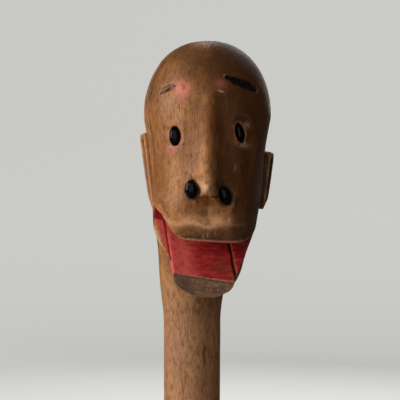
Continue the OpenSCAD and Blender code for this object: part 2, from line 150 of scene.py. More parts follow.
def studio_light(name, turn, rise, distance, size, power, colour):
    """A square area light that looks at the head from a turn round the stick and a rise above it."""
    data = bpy.data.lights.new(name, "AREA")
    data.size = size
    data.energy = power
    data.color = colour
    turn, rise = math.radians(turn), math.radians(rise)
    away = Vector((math.sin(turn) * math.cos(rise), -math.cos(turn) * math.cos(rise), math.sin(rise)))
    light = bpy.data.objects.new(name, data)
    light.location = aim + away * distance
    light.rotation_euler = (-away).to_track_quat("-Z", "Y").to_euler()
    light.visible_camera = False
    bpy.context.collection.objects.link(light)


studio_light("window", turn=-82, rise=17, distance=1.25, size=0.9, power=19.5, colour=(1.0, 0.985, 0.96))
studio_light("front", turn=-22, rise=12, distance=1.4, size=1.2, power=6.0, colour=(1.0, 0.95, 0.89))
studio_light("back", turn=155, rise=25, distance=1.4, size=1.0, power=5.0, colour=(1.0, 0.98, 0.95))

air_colour = (0.95, 0.97, 1.0, 1)
air_strength = 0.2
world = bpy.data.worlds.new("studio_air")
world.use_nodes = True
world.node_tree.nodes["Background"].inputs["Color"].default_value = air_colour
world.node_tree.nodes["Background"].inputs["Strength"].default_value = air_strength
bpy.context.scene.world = world
bpy.context.scene.view_settings.view_transform = "Standard"

# ---- Stick, with the back of the head and both cheeks ----
# One billet of fine-grained fruitwood, turned round below and carved above, then waxed by years of
# handling. The cheeks' sloping faces inside the mouth are painted red.
mm = 0.001
hinge = next(j for j in frame["joints"] if j["name"] == "jaw_hinge")
hinge_at = np.array(hinge["pos_m"])
jaw_slope = math.radians(46.5)
roof_slope = jaw_slope - math.radians(hinge["range_deg"][1])
knuckle = 6.0
jaw_clearance = 0.4
seam_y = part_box("face")[1].y
head_turn = math.radians(-12)
head_middle = np.array([2.6, -19.0]) * mm
head_forward = np.array([math.sin(head_turn), -math.cos(head_turn), 0.0])
head_sideways = np.array([math.cos(head_turn), math.sin(head_turn), 0.0])


def numbers(mesh, what="co", holder="vertices"):
    """A mesh's coordinates or normals as rows of three."""
    rows = np.empty(len(getattr(mesh, holder)) * 3)
    getattr(mesh, holder).foreach_get(what, rows)
    return rows.reshape(-1, 3)


def smooth_step(low, high, value):
    share = np.clip((value - low) / (high - low), 0, 1)
    return share * share * (3 - 2 * share)


def hump(value, middle, half_width):
    return np.exp(-(((value - middle) / half_width) ** 2))


def head_axes(points):
    """Distances in millimetres in the turned head's own axes: sideways, forwards and up."""
    flat = points[:, :2] - head_middle
    return flat @ head_sideways[:2] / mm, flat @ head_forward[:2] / mm, points[:, 2] / mm


def over_plane(points, slope):
    """Height in millimetres over the plane through the hinge pin that slopes down towards the mouth."""
    return (points - hinge_at) @ np.array([0, -math.sin(slope), math.cos(slope)]) / mm


class Carving:
    """A dense copy of a CAD node. Its facets are smoothed away, and its cut edges stay."""

    weld = 2e-6
    cut_angle = math.radians(32)
    cut_spacing = 0.4 * mm

    def __init__(self, name, node, voxel, rounds=40, keep_edge=0.5, fade=2.0):
        source = frame["nodes"][node].data.copy()
        source.materials.clear()
        shape = bmesh.new()
        shape.from_mesh(source)
        bmesh.ops.remove_doubles(shape, verts=shape.verts, dist=self.weld)
        cut_points = []
        for edge in shape.edges:
            if len(edge.link_faces) == 2 and edge.calc_face_angle() > self.cut_angle:
                steps = max(1, int(edge.calc_length() / self.cut_spacing))
                start, end = edge.verts[0].co, edge.verts[1].co
                cut_points += [start.lerp(end, i / steps) for i in range(steps + 1)]
        shape.to_mesh(source)
        shape.free()
        rough = bpy.data.objects.new(name + "_rough", source)
        bpy.context.collection.objects.link(rough)
        remesh = rough.modifiers.new("remesh", "REMESH")
        remesh.mode = "VOXEL"
        remesh.voxel_size = voxel * mm
        depsgraph = bpy.context.evaluated_depsgraph_get()
        self.mesh = bpy.data.meshes.new_from_object(rough.evaluated_get(depsgraph))
        self.mesh.name = name
        bpy.data.objects.remove(rough)
        self.piece = bpy.data.objects.new(name, self.mesh)
        bpy.context.collection.objects.link(self.piece)

        pairs = np.empty(len(self.mesh.edges) * 2, int)
        self.mesh.edges.foreach_get("vertices", pairs)
        first, second = pairs.reshape(-1, 2).T
        self.count = len(self.mesh.vertices)
        self.ends = np.concatenate([first, second])
        self.others = np.concatenate([second, first])
        self.valence = np.bincount(self.ends, minlength=self.count).clip(1)
        self.points = numbers(self.mesh)
        self.marks = {}
        self.dull = 0

        tree = kdtree.KDTree(len(cut_points))
        for i, point in enumerate(cut_points):
            tree.insert(point, i)
        tree.balance()
        self.from_cut = np.array([tree.find(p)[2] for p in self.points]) / mm
        self.smooth(rounds, smooth_step(keep_edge, keep_edge + fade, self.from_cut))

    def around(self, values):
        """The mean of each vertex's neighbours, for a column or for rows of three."""
        if values.ndim == 1:
            return np.bincount(self.ends, values[self.others], self.count) / self.valence
        return np.stack([self.around(values[:, i]) for i in range(3)], 1)

    def blurred(self, values, rounds):
        for _ in range(rounds):
            values = self.around(values)
        return values

    def smooth(self, rounds, weight, strength=0.7):
        for _ in range(rounds):
            self.points += (self.around(self.points) - self.points) * (strength * weight)[:, None]
        self.place()

    def place(self):
        self.mesh.vertices.foreach_set("co", self.points.ravel())
        self.mesh.update()
        self.normals = numbers(self.mesh, "vector", "vertex_normals")

    def push(self, amounts, direction=None):
        """Moves the surface by amounts in millimetres, along its normals or along one direction."""
        along = self.normals if direction is None else np.array(direction)[None, :]
        self.points += along * (amounts * mm)[:, None]
        self.place()

    def knife_facets(self, size, depth, seed, weight):
        """Draws each vertex towards the flat of the nearest knife cut, some millimetres across."""
        vertex_gap = 0.5
        fewest_cuts = 8
        deepest, highest = 0.4, 0.25
        soften_rounds, blend_rounds = 6, 5
        rng = np.random.default_rng(seed)
        cuts = max(fewest_cuts, int(self.count * (vertex_gap / size) ** 2))
        picked = rng.choice(self.count, cuts, replace=False)
        soft = self.blurred(self.normals, soften_rounds)
        soft = soft / np.linalg.norm(soft, axis=1)[:, None].clip(1e-9)
        tree = kdtree.KDTree(len(picked))
        for i, index in enumerate(picked):
            tree.insert(self.points[index], i)
        tree.balance()
        nearest = picked[[tree.find(p)[1] for p in self.points]]
        gap = np.einsum("ij,ij->i", self.points - self.points[nearest], soft[nearest]) / mm
        same_side = smooth_step(0.7, 0.95, np.einsum("ij,ij->i", soft, soft[nearest]))
        amount = self.blurred(-gap * depth * same_side * weight, blend_rounds)
        self.push(np.clip(amount, -deepest, highest))

    def mark(self, name, shares):
        """Adds shares to a named attribute that the material reads."""
        self.marks[name] = np.maximum(self.marks.get(name, 0), np.clip(shares, 0, 1))

    def scratch(self, start, end, half_width, depth, colour=None, point_first=0.35, point_last=0.35):
        """Cuts a gouge in the front of the head, from one (sideways, up) point to another."""
        side, ahead, up = head_axes(self.points)
        (s0, u0), (s1, u1) = start, end
        length = math.hypot(s1 - s0, u1 - u0)
        along = ((side - s0) * (s1 - s0) + (up - u0) * (u1 - u0)) / length
        across = np.abs((side - s0) * (u1 - u0) - (up - u0) * (s1 - s0)) / length
        share = np.clip(along / length, 0, 1)
        to_point = np.minimum(share / point_first, (1 - share) / point_last)
        narrowest, point_curve = 0.02, 0.6
        width = half_width * np.minimum(1, to_point).clip(narrowest) ** point_curve
        beyond = np.abs(along - share * length)
        from_line = np.hypot(across, beyond) / width
        in_front = self.normals @ head_forward > 0.2
        inside = smooth_step(1.25, 0.7, from_line) * in_front
        self.push(-depth * inside, head_forward)
        if colour:
            self.mark(colour, inside)
            self.dull = np.maximum(self.dull, smooth_step(3.2, 1.6, from_line))

    def close_seam(self, reach=0.8, depth=0.22):
        """Rounds the edge at the glue line, so that a thin dark line shows where face and back meet."""
        from_seam = np.abs(self.points[:, 1] - seam_y) / mm
        near = 1 - smooth_step(0, reach, from_seam)
        near *= np.abs(self.normals[:, 1]) < 0.9
        self.push(-depth * near)
        self.mark("grime", near * 1.2)
        self.mark("soot", 0.8 * (near > 0) * smooth_step(0.9, 0.2, from_seam))
        self.dull = np.maximum(self.dull, smooth_step(3.2, 1.6, from_seam))

    def finish(self, body, slot, material, *nodes):
        """Keeps the piece inside the CAD's box, marks its hollows and edges, and hands it over."""
        self.points = np.clip(self.points, cad_low, cad_high)
        self.place()
        bend = np.einsum("ij,ij->i", self.around(self.points) - self.points, self.normals) / mm
        bend = self.blurred(bend, 3)
        self.mark("grime", smooth_step(0.003, 0.03, bend) * 0.8)
        self.mark("edge", smooth_step(0.004, 0.03, -bend) * (1 - self.dull))
        for name, shares in self.marks.items():
            column = self.mesh.attributes.new(name, "FLOAT", "POINT").data
            column.foreach_set("value", shares.astype(np.float32))
        self.mesh.shade_smooth()
        self.mesh.materials.clear()
        self.mesh.materials.append(material)
        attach(self.piece, body)
        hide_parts(*nodes)


def feed(tree, sockets, values):
    """Puts a socket, a number or a colour into each of a node's inputs."""
    for socket, given in zip(sockets, values):
        if isinstance(given, bpy.types.NodeSocket):
            tree.links.new(given, socket)
        else:
            socket.default_value = (*given, 1) if isinstance(given, tuple) else given


def math_node(tree, operation, *values):
    node = tree.nodes.new("ShaderNodeMath")
    node.operation = operation
    feed(tree, node.inputs, values)
    return node.outputs[0]


def rise_node(tree, value, low, high):
    """0 below low, 1 above high, and a smooth rise between them."""
    node = tree.nodes.new("ShaderNodeMapRange")
    node.interpolation_type = "SMOOTHSTEP"
    feed(tree, node.inputs, (value, low, high))
    return node.outputs["Result"]


def blend_node(tree, share, first, second):
    node = tree.nodes.new("ShaderNodeMix")
    node.data_type = "RGBA"
    feed(tree, (node.inputs[0], node.inputs[6], node.inputs[7]), (share, first, second))
    return node.outputs[2]


def noise_node(tree, place, scale, stretch=(1, 1, 1), detail=4.0, roughness=0.55, shift=0.0):
    """Noise of scale features to the metre. A stretch under 1 draws it out along that axis."""
    mapping = tree.nodes.new("ShaderNodeMapping")
    mapping.inputs["Scale"].default_value = [scale * s for s in stretch]
    mapping.inputs["Location"].default_value = (shift, 0.37 * shift, 1.7 * shift)
    tree.links.new(place, mapping.inputs["Vector"])
    node = tree.nodes.new("ShaderNodeTexNoise")
    node.inputs["Scale"].default_value = 1.0
    node.inputs["Detail"].default_value = detail
    node.inputs["Roughness"].default_value = roughness
    tree.links.new(mapping.outputs["Vector"], node.inputs["Vector"])
    return node.outputs["Fac"]


def mark_node(tree, name):
    node = tree.nodes.new("ShaderNodeAttribute")
    node.attribute_name = name
    return node.outputs["Fac"]


def billet_grain():
    """Long fine streaks, short dark pores, slow blotches, and the height that they stand up to."""
    tree = bpy.data.node_groups.new("billet_grain", "ShaderNodeTree")
    for name in ("Fineness", "Pore Share"):
        socket = tree.interface.new_socket(name, in_out="INPUT", socket_type="NodeSocketFloat")
        socket.default_value = 1.0
    take = tree.nodes.new("NodeGroupInput").outputs
    give = tree.nodes.new("NodeGroupOutput")
    finer = tree.nodes.new("ShaderNodeVectorMath")
    finer.operation = "SCALE"
    tree.links.new(tree.nodes.new("ShaderNodeTexCoord").outputs["Object"], finer.inputs[0])
    tree.links.new(take["Fineness"], finer.inputs["Scale"])
    place = finer.outputs[0]
    fine = noise_node(tree, place, 1600, stretch=(1, 1, 0.1), detail=5.0, roughness=0.65, shift=3.1)
    broad = noise_node(tree, place, 420, stretch=(1, 1, 0.08), detail=4.0, roughness=0.6, shift=8.3)
    fine = math_node(tree, "MULTIPLY", fine, 0.65)
    broad = math_node(tree, "MULTIPLY", broad, 0.35)
    streak = math_node(tree, "ADD", fine, broad)
    pores = noise_node(tree, place, 2300, stretch=(1, 1, 0.16), detail=2.0, roughness=0.5, shift=1.9)
    pores = math_node(tree, "MULTIPLY", rise_node(tree, pores, 0.6, 0.72), take["Pore Share"])
    blotch = noise_node(tree, place, 95, stretch=(1, 1, 0.55), detail=5.0, roughness=0.66, shift=5.2)
    height = math_node(tree, "SUBTRACT", streak, math_node(tree, "MULTIPLY", pores, 0.5))
    for name, socket in (("Streak", streak), ("Pores", pores), ("Blotch", blotch), ("Height", height)):
        tree.interface.new_socket(name, in_out="OUTPUT", socket_type="NodeSocketFloat")
        tree.links.new(socket, give.inputs[name])
    return tree


grain_tree = billet_grain()


def carved_wood(name, pale, middle, dark, stain_and_shade_strength, weathered, fineness=1.0, pore_share=1.0):
    """Waxed, worn and marked wood, with painted shade and painted highlights where a piece is marked for
    them. The number after the three wood colours is how dark the crown and the painted shade go where a piece
    is marked with them, and weathered is how grey the wood is in patches."""
    handled_colour = (0.46, 0.26, 0.15)
    stain_and_shade_colour = (0.055, 0.017, 0.003)
    worn_and_highlight_colour = (0.62, 0.34, 0.18)
    aged_colour = (0.12, 0.08, 0.055)
    dirt_and_shadow_colour = (0.022, 0.011, 0.006)
    blush_colour = (0.55, 0.165, 0.115)
    chip_colour = (0.55, 0.36, 0.23)
    deep_red = (0.25, 0.012, 0.013)
    bright_red = (0.47, 0.042, 0.036)
    thin_red = (0.5, 0.09, 0.06)
    painted_light_red = (0.72, 0.125, 0.1)
    edge_red = (0.6, 0.2, 0.14)
    spotted_red = (0.07, 0.01, 0.007)
    painted_shade_red = (0.13, 0.05, 0.025)
    ink_colour = (0.008, 0.006, 0.005)

    material = bpy.data.materials.new(name)
    material.use_nodes = True
    tree = material.node_tree
    shader = tree.nodes["Principled BSDF"]
    grain = tree.nodes.new("ShaderNodeGroup")
    grain.node_tree = grain_tree
    grain.inputs["Fineness"].default_value = fineness
    grain.inputs["Pore Share"].default_value = pore_share
    grain = grain.outputs
    place = tree.nodes.new("ShaderNodeTexCoord").outputs["Object"]
    ragged = noise_node(tree, place, 430, stretch=(1, 1, 0.7), detail=6.0, roughness=0.68, shift=4.4)
    speckle = noise_node(tree, place, 2100, detail=2.0, roughness=0.5, shift=7.7)
    patchy = noise_node(tree, place, 130, stretch=(1, 1, 0.5), detail=5.0, roughness=0.62, shift=9.6)
    mottle = noise_node(tree, place, 620, stretch=(1, 1, 0.45), detail=5.0, roughness=0.7, shift=12.5)
    flaking = noise_node(tree, place, 1300, detail=3.0, roughness=0.6, shift=15.2)
    brushed = noise_node(tree, place, 560, stretch=(0.3, 1, 1), detail=6.0, roughness=0.72, shift=2.3)

    def part(share, strength):
        return math_node(tree, "MULTIPLY", share, strength)

    def marked(mark, low=None, high=None):
        """A mark's share, which may break up along the ragged noise from low to high."""
        share = mark_node(tree, mark)
        return share if low is None else part(share, rise_node(tree, ragged, low, high))

    def larger(first, second):
        return math_node(tree, "MAXIMUM", first, second)

    colour = blend_node(tree, rise_node(tree, grain["Blotch"], 0.38, 0.62), pale, middle)
    colour = blend_node(tree, part(marked("handled"), 0.45), colour, handled_colour)
    colour = blend_node(tree, part(rise_node(tree, mottle, 0.48, 0.66), 0.5), colour, dark)
    colour = blend_node(tree, part(rise_node(tree, grain["Streak"], 0.48, 0.62), 0.4), colour, dark)
    colour = blend_node(tree, part(rise_node(tree, speckle, 0.58, 0.68), 0.5), colour, dark)
    colour = blend_node(tree, part(grain["Pores"], 0.6), colour, dark)

    # Where a piece is marked, the wood goes darker: towards the crown, and as painted shade over the +X half
    # of the head.
    uneven = part(math_node(tree, "SUBTRACT", patchy, 0.5), 0.9)
    stain = rise_node(tree, math_node(tree, "ADD", marked("stain"), uneven), 0.1, 0.95)
    colour = blend_node(tree, part(stain, stain_and_shade_strength), colour, stain_and_shade_colour)
    # Worn edges are paler, and so are the painted highlights on the nose tip and the lip.
    colour = blend_node(tree, part(marked("edge", 0.3, 0.54), 0.7), colour, worn_and_highlight_colour)
    aged = larger(part(rise_node(tree, patchy, 0.52, 0.7), weathered), marked("aged", 0.38, 0.62))
    colour = blend_node(tree, aged, colour, aged_colour)
    # Grime and soot darken the wood, and so does a painted shadow line under the nose.
    dirt_and_shadow = larger(marked("grime", 0.22, 0.5), marked("soot"))
    colour = blend_node(tree, part(dirt_and_shadow, 0.85), colour, dirt_and_shadow_colour)

    colour = blend_node(tree, part(marked("blush", 0.3, 0.5), 0.9), colour, blush_colour)
    chips = part(marked("chip"), rise_node(tree, speckle, 0.38, 0.52))
    flakes = part(marked("flake"), rise_node(tree, flaking, 0.5, 0.56))
    colour = blend_node(tree, part(larger(chips, flakes), 0.85), colour, chip_colour)

    cover = math_node(tree, "SUBTRACT", part(marked("red"), 1.7), part(ragged, 0.95))
    cover = rise_node(tree, cover, 0.25, 0.45)
    red = blend_node(tree, rise_node(tree, brushed, 0.4, 0.66), deep_red, bright_red)
    red = blend_node(tree, part(rise_node(tree, patchy, 0.5, 0.66), 0.25), red, thin_red)
    # The red is painted lighter towards the -X side, as painted light.
    red = blend_node(tree, marked("faded", 0.25, 0.55), red, painted_light_red)
    red = blend_node(tree, part(marked("edge"), 0.5), red, edge_red)
    red = blend_node(tree, part(rise_node(tree, speckle, 0.62, 0.7), 0.4), red, spotted_red)
    # A patch of painted shade darkens the red.
    red = blend_node(tree, marked("rub", 0.35, 0.6), red, painted_shade_red)
    colour = blend_node(tree, cover, colour, red)
    ink = marked("ink", 0.3, 0.44)
    colour = blend_node(tree, ink, colour, ink_colour)
    tree.links.new(colour, shader.inputs["Base Color"])

    rough = math_node(tree, "ADD", part(patchy, 0.28), 0.32)
    rough = math_node(tree, "ADD", rough, part(grain["Pores"], 0.2))
    rough = math_node(tree, "ADD", rough, part(ink, 0.25))
    tree.links.new(rough, shader.inputs["Roughness"])
    shader.inputs["Specular IOR Level"].default_value = 0.16
    shader.inputs["Coat Weight"].default_value = 0.02
    shader.inputs["Coat Roughness"].default_value = 0.3

    bump = tree.nodes.new("ShaderNodeBump")
    bump.inputs["Strength"].default_value = 0.6
    bump.inputs["Distance"].default_value = 0.3 * mm
    relief = math_node(tree, "ADD", grain["Height"], part(ragged, 0.6))
    relief = math_node(tree, "ADD", relief, part(cover, 0.3))
    tree.links.new(relief, bump.inputs["Height"])
    tree.links.new(bump.outputs["Normal"], shader.inputs["Normal"])
    return material


head_wood = carved_wood(
    "head_wood", pale=(0.4, 0.172, 0.054), middle=(0.26, 0.1, 0.029), dark=(0.07, 0.022, 0.006),
    stain_and_shade_strength=0.85, weathered=0.25,
)

stick = Carving("stick_and_back", "stick", voxel=0.76)


def stain_and_shade_of(side, up):
    """Darker towards the crown, and painted shade over the +X half of the head, but less of it on the lip."""
    crown_foot, crown_middle, crown_top = 364, 377, 398
    lip_top, nose_foot = 335, 341
    crown = 0.5 * smooth_step(crown_foot, crown_middle, up)
    crown += 0.15 * smooth_step(crown_middle, crown_top, up)
    begins = 6.5 * smooth_step(nose_foot, lip_top, up)
    dark_half = 0.84 * smooth_step(begins - 0.5, begins + 4.5, side)
    return 1 - (1 - dark_half) * (1 - crown)


side, ahead, up = head_axes(stick.points)
cheek_face = np.abs(over_plane(stick.points, jaw_slope) - knuckle - jaw_clearance)
on_head = smooth_step(296, 318, up)
facets = smooth_step(0.8, 3.0, stick.from_cut) * (0.2 + 0.8 * on_head)
stick.knife_facets(size=7, depth=0.5, seed=4, weight=facets)
stick.close_seam()
# The head's part of the stick is darker towards the crown, with painted shade on its +X half.
stick.mark("stain", stain_and_shade_of(side, up) * smooth_step(300, 330, up))
stick.mark("handled", smooth_step(315, 290, up))

# The paint stops short of the cheek's edge on the -X side, and runs a little way into the jaw's slot.
across = stick.points[:, 0] / mm
behind_seam = (stick.points[:, 1] - seam_y) / mm
edge_heights = (306, 315, 320, 325)
edge_places = (-15.8, -18.4, -19.2, -20.8)
paint_edge = np.interp(up, edge_heights, edge_places)
in_mouth = (behind_seam < 0.3) & (np.abs(stick.normals[:, 2]) > 0.3)
on_face = smooth_step(1.2, 0.4, cheek_face) * in_mouth * smooth_step(0, 0.8, across - paint_edge)
slot_gap = 0.15
from_slot = np.abs(across - (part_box("jaw")[0].x / mm - slot_gap))
in_slot = smooth_step(0.5, 0.2, from_slot) * smooth_step(3.5, 2.0, cheek_face)
# The cheeks' red is painted lighter towards -X, as painted light.
stick.mark("faded", smooth_step(-3, -13, across) * 0.85)
stick.mark("red", np.maximum(on_face, in_slot * (behind_seam < 3)))

crack_top, crack_foot = 275, 263
crack = hump(across, 2.8 + 0.3 * np.sin(up), 0.7)
crack *= smooth_step(crack_foot, crack_foot + 3, up) * smooth_step(crack_top, crack_top - 4, up)
stick.mark("grime", crack * (stick.points[:, 1] < 0))
rims = smooth_step(3.5, 1.5, cheek_face) * (behind_seam < 4) * smooth_step(-19.5, -18, across)
stick.dull = np.maximum(stick.dull, rims)
stick.finish("stick", "wood", head_wood, "stick")

# ---- Face ----
# The front of the head, sawn off and glued back on, with the nose and the lip carved in it. The
# brows are gouged strokes, one of them full of black paint, and there are touches of pink paint.
face = Carving("face_front", "face", voxel=0.4)
side, ahead, up = head_axes(face.points)
over_roof = over_plane(face.points, roof_slope) - knuckle - jaw_clearance
face.mark("red", smooth_step(1.0, 0.4, np.abs(over_roof)))

# The mouth's corner rises on the -X side.
corner_rise = 7.0
corner_from, corner_width = 8, 9.5
corner_lift = corner_rise * np.clip((-side - corner_from) / corner_width, 0, 1.05) ** 2
corner_lift *= smooth_step(0, 6, (seam_y - face.points[:, 1]) / mm) * (1 - smooth_step(0, 14, over_roof))
face.push(corner_lift, (0, 0, 1))

# Each swelling or hollow: its height, its middle and half width sideways, and its middle and half
# height upwards.
front = smooth_step(0.1, 0.45, face.normals @ head_forward) * smooth_step(0.5, 2.0, over_roof)
side, ahead, up = head_axes(face.points)
lip_line = 324.6 - 1.2 * hump(side, 1, 4) + 0.8 * hump(side, -5, 4)
nose_tip_swell = (2.6, 0.2, 2.5, 338.8, 3.1)
nostril_hollow_left = (-0.9, -4.6, 1.6, 342, 4.5)
nostril_hollow_right = (-0.9, 4.4, 1.6, 341, 4.5)
nose_set_back = (-2.1, -0.4, 10, 339, 11)
groove_over_lip = (-0.6, -0.4, 1.6, 330.5, 3.0)
bridge_side = (-1.7, 6.5, 4.5, 354, 15)
lip_swell = (2.0, -1, 13, lip_line, 2.0)
hollow_over_lip = (-1.0, -1, 11, lip_line + 4.6, 2.2)
hollow_under_lip = (-1.5, 0, 18, lip_line - 6.0, 2.8)
carve = -0.7 * hump(side, 0.8, 3.8) * smooth_step(336.4, 334.8, up) * smooth_step(329.5, 333.5, up)
for height, beside, half_width, at, half_height in (
    nose_tip_swell, nostril_hollow_left, nostril_hollow_right, nose_set_back, groove_over_lip,
    bridge_side, lip_swell, hollow_over_lip, hollow_under_lip,
):
    carve += height * hump(side, beside, half_width) * hump(up, at, half_height)
face.push(carve * front, head_forward)
flats = smooth_step(3, 8, face.from_cut) * front * (0.2 + 0.8 * smooth_step(6, 12, np.abs(side)))
face.knife_facets(size=7, depth=0.3, seed=11, weight=flats)
# A painted highlight on the nose tip: it takes less of the dark and a pale mark.
nose_tip_highlight = hump(side, -0.2, 2.8) * hump(up, 339.0, 3.4)
# Painted shade on the forehead above the brows.
painted_forehead_shade = 0.2 * hump(side, -2, 9) * hump(up, 384, 8)
# Darker towards the crown, painted shade on the +X half and over the brows, and less of it on the painted
# nose highlight.
face.mark("stain", stain_and_shade_of(side, up) * (1 - 0.8 * nose_tip_highlight) + painted_forehead_shade)
face.mark("aged", hump(up, 319, 4) * 0.8)
# Pale marks as painted highlights on the nose tip and along the lip.
face.mark("edge", 1.4 * nose_tip_highlight + 1.3 * hump(side, -2.5, 9) * hump(up, 325.6, 2.2))
face.close_seam()

# Each brow stroke: where it starts and ends, its half width and its depth.
black_brow = (
    ((6.6, 382.2), (13.4, 380.7), 0.95, 0.5),
    ((9.0, 381.0), (17.6, 379.2), 1.5, 0.8),
    ((12.5, 379.6), (19.6, 377.8), 1.35, 0.7),
)
bare_brow = (
    ((-19.2, 376.0), (-14.8, 377.8), 0.483, 0.35),
    ((-16.4, 377.0), (-12.4, 379.0), 0.713, 0.5),
    ((-18.6, 378.0), (-12.9, 379.9), 0.345, 0.3),
)
for start, end, half_width, depth in black_brow:
    face.scratch(start, end, half_width, depth, "ink", point_first=0.18, point_last=0.12)
for start, end, half_width, depth in bare_brow:
    face.scratch(start, end, half_width, depth, "soot")
side, ahead, up = head_axes(face.points)
face.mark("blush", hump(side, -10.1, 2.9) * hump(up, 377.6, 3.2) * 1.4)
face.mark("blush", hump(side, 4.8, 2.6) * hump(up, 379.4, 2.4) * 0.42)

# Small nicks: start, end, half width, depth and colour. The one over the -X nostril runs out long.
nicks = [
    ((3.6, 377.0), (6.4, 375.8), 0.45, 0.12, "chip"),
    ((8.0, 327.4), (8.2, 324.6), 0.35, 0.15, "chip"),
]
for beside, top in ((-2.0, 321.0), (-0.2, 321.4), (2.6, 322.2)):
    nicks.append(((beside, top), (beside + 0.1, top - 1.9), 0.3, 0.1, "chip"))
nicks.append(((-4.6, 334.2), (-3.4, 332.8), 0.35, 0.2, "soot"))
for start, end, half_width, depth, colour in nicks:
    face.scratch(start, end, half_width, depth, colour)
face.scratch((-6.5, 341.0), (-6.9, 344.4), 0.55, 0.2, "soot", point_first=0.1, point_last=0.7)
# A dark line under the nose tip, cut shallow and darkened as painted shadow.
face.scratch((1.0, 335.8), (4.6, 337.2), 0.45, 0.35, "soot")
flaky = hump(side, 0, 4) * smooth_step(393, 397, up)


def socket_shape(node):
    """Middle, long axis and half sizes of a socket's bead, in the head's sideways and up axes."""
    side, ahead, up = head_axes(numbers(frame["nodes"][node].data))
    spots = np.stack([side, up], 1)
    middle = (spots.min(0) + spots.max(0)) / 2
    turned, axes = np.linalg.eigh(np.cov((spots - middle).T))
    long_axis = axes[:, 1] * np.sign(axes[1, 1])
    across = np.array([long_axis[1], -long_axis[0]])
    half_w, half_h = (np.abs((spots - middle) @ axis).max() for axis in (across, long_axis))
    return middle, across, long_axis, half_w, half_h


# Each opening: its node, how much it narrows to its ends, its lean in degrees, its width and height
# as shares of the drilled slot, and the share of its width at the top and at the foot.
openings = (
    ("eye_left", 0.0, 0, 1.0, 1.0, 0.97, 1.03),
    ("eye_right", 0.12, -16, 0.86, 1.04, 1.0, 1.0),
    ("nostril_left", 0.1, 4, 1.0, 0.98, 0.62, 1.25),
    ("nostril_right", 0.1, -34, 0.95, 1.0, 0.85, 1.1),
)
rim_sink = 0.22
for node, tip, lean, wide, tall, top_share, foot_share in openings:
    middle, across, long_axis, half_w, half_h = socket_shape(node)
    side, ahead, up = head_axes(face.points)
    offset = np.stack([side, up], 1) - middle
    x, y = offset @ across, offset @ long_axis
    straight = half_h - half_w
    far_out = np.hypot(x, y - np.clip(y, -straight, straight)) / half_w
    height = np.clip(y / half_h, -1, 1)
    slot_w = np.sqrt(np.clip(1 - (np.clip(np.abs(y) - straight, 0, None) / half_w) ** 2, 0.25, None))
    end_share = 1 + np.where(height > 0, top_share - 1, 1 - foot_share) * height
    want_w = np.clip(1 - height**2, 0.25, None) ** (0.5 + tip) * end_share
    hold = smooth_step(2.6, 1.0, far_out)
    new_x = x * (1 + (want_w / slot_w * wide - 1) * hold)
    new_y = y * (1 + (tall - 1) * hold)
    turn = math.radians(-lean) * hold
    turned_x = new_x * np.cos(turn) - new_y * np.sin(turn)
    turned_y = new_x * np.sin(turn) + new_y * np.cos(turn)
    move = (turned_x - x)[:, None] * across + (turned_y - y)[:, None] * long_axis
    face.points += head_sideways * (move[:, :1] * mm) + np.array([0, 0, 1.0]) * (move[:, 1:] * mm)
    face.smooth(4, smooth_step(2.4, 1.9, far_out) * smooth_step(1.15, 1.5, far_out))
    rim = smooth_step(0.9, 1.02, far_out) * smooth_step(1.6, 1.15, far_out)
    face.push(-rim_sink * rim * smooth_step(0.2, 0.5, face.normals @ head_forward), head_forward)
    rim_colour, rim_share = ("blush", 0.4) if node.startswith("eye") else ("grime", 0.7)
    face.mark(rim_colour, rim * rim_share)
    face.mark("grime", smooth_step(1.3, 1.0, far_out) * 0.9)
side, ahead, up = head_axes(face.points)
face.mark("chip", hump(side, 15.5, 1.2) * hump(up, 363.5, 1.2) * 0.8)
face.mark("chip", hump(side, 15.2, 1.6) * hump(up, 355.3, 1.0) * 0.8)
face.mark("blush", hump(side, -14.8, 2.2) * hump(up, 353.6, 1.6) * 0.5)
face.mark("flake", flaky)
face.finish("stick", "wood", head_wood, "face")

# ---- Jaw ----
# A block of the same wood with a round knuckle at the back. Its top is painted red, and the sawn
# chin is bare and grey with age, with saw lines across it.
jaw_wood = carved_wood(
    "jaw_wood", pale=(0.38, 0.22, 0.135), middle=(0.25, 0.14, 0.088), dark=(0.07, 0.038, 0.022),
    stain_and_shade_strength=0.0, weathered=0.6, fineness=1.2,
)
jaw = Carving("jaw_block", "jaw", voxel=0.34)
along = (jaw.points - hinge_at) @ np.array([0, -math.cos(jaw_slope), -math.sin(jaw_slope)]) / mm
above = over_plane(jaw.points, jaw_slope)
level = math.cos(jaw_slope)
chin = np.array([math.sin(head_turn) * level, -math.cos(head_turn) * level, -math.sin(jaw_slope)])
on_chin = smooth_step(0.75, 0.92, jaw.normals @ chin) * smooth_step(18, 22, along)
facets = smooth_step(0.5, 1.8, jaw.from_cut) * smooth_step(8, 12, along)
jaw.knife_facets(size=4.5, depth=0.45, seed=21, weight=facets)
across = jaw.points[:, 0] / mm
low_corner = smooth_step(1.5, 8.5, across) * smooth_step(3.5, -3.5, above) * smooth_step(14, 24, along)
corner_cut = 2.6
jaw.push(-corner_cut * low_corner, (1, 0, 0))
saw_depth = 0.06
jaw.push(-saw_depth * on_chin * np.sin(above * 7 + 1.5 * np.sin(jaw.points[:, 0] / mm * 0.5)))
jaw.mark("red", smooth_step(1.1, 0.5, np.abs(above - knuckle)) * (1 - on_chin))

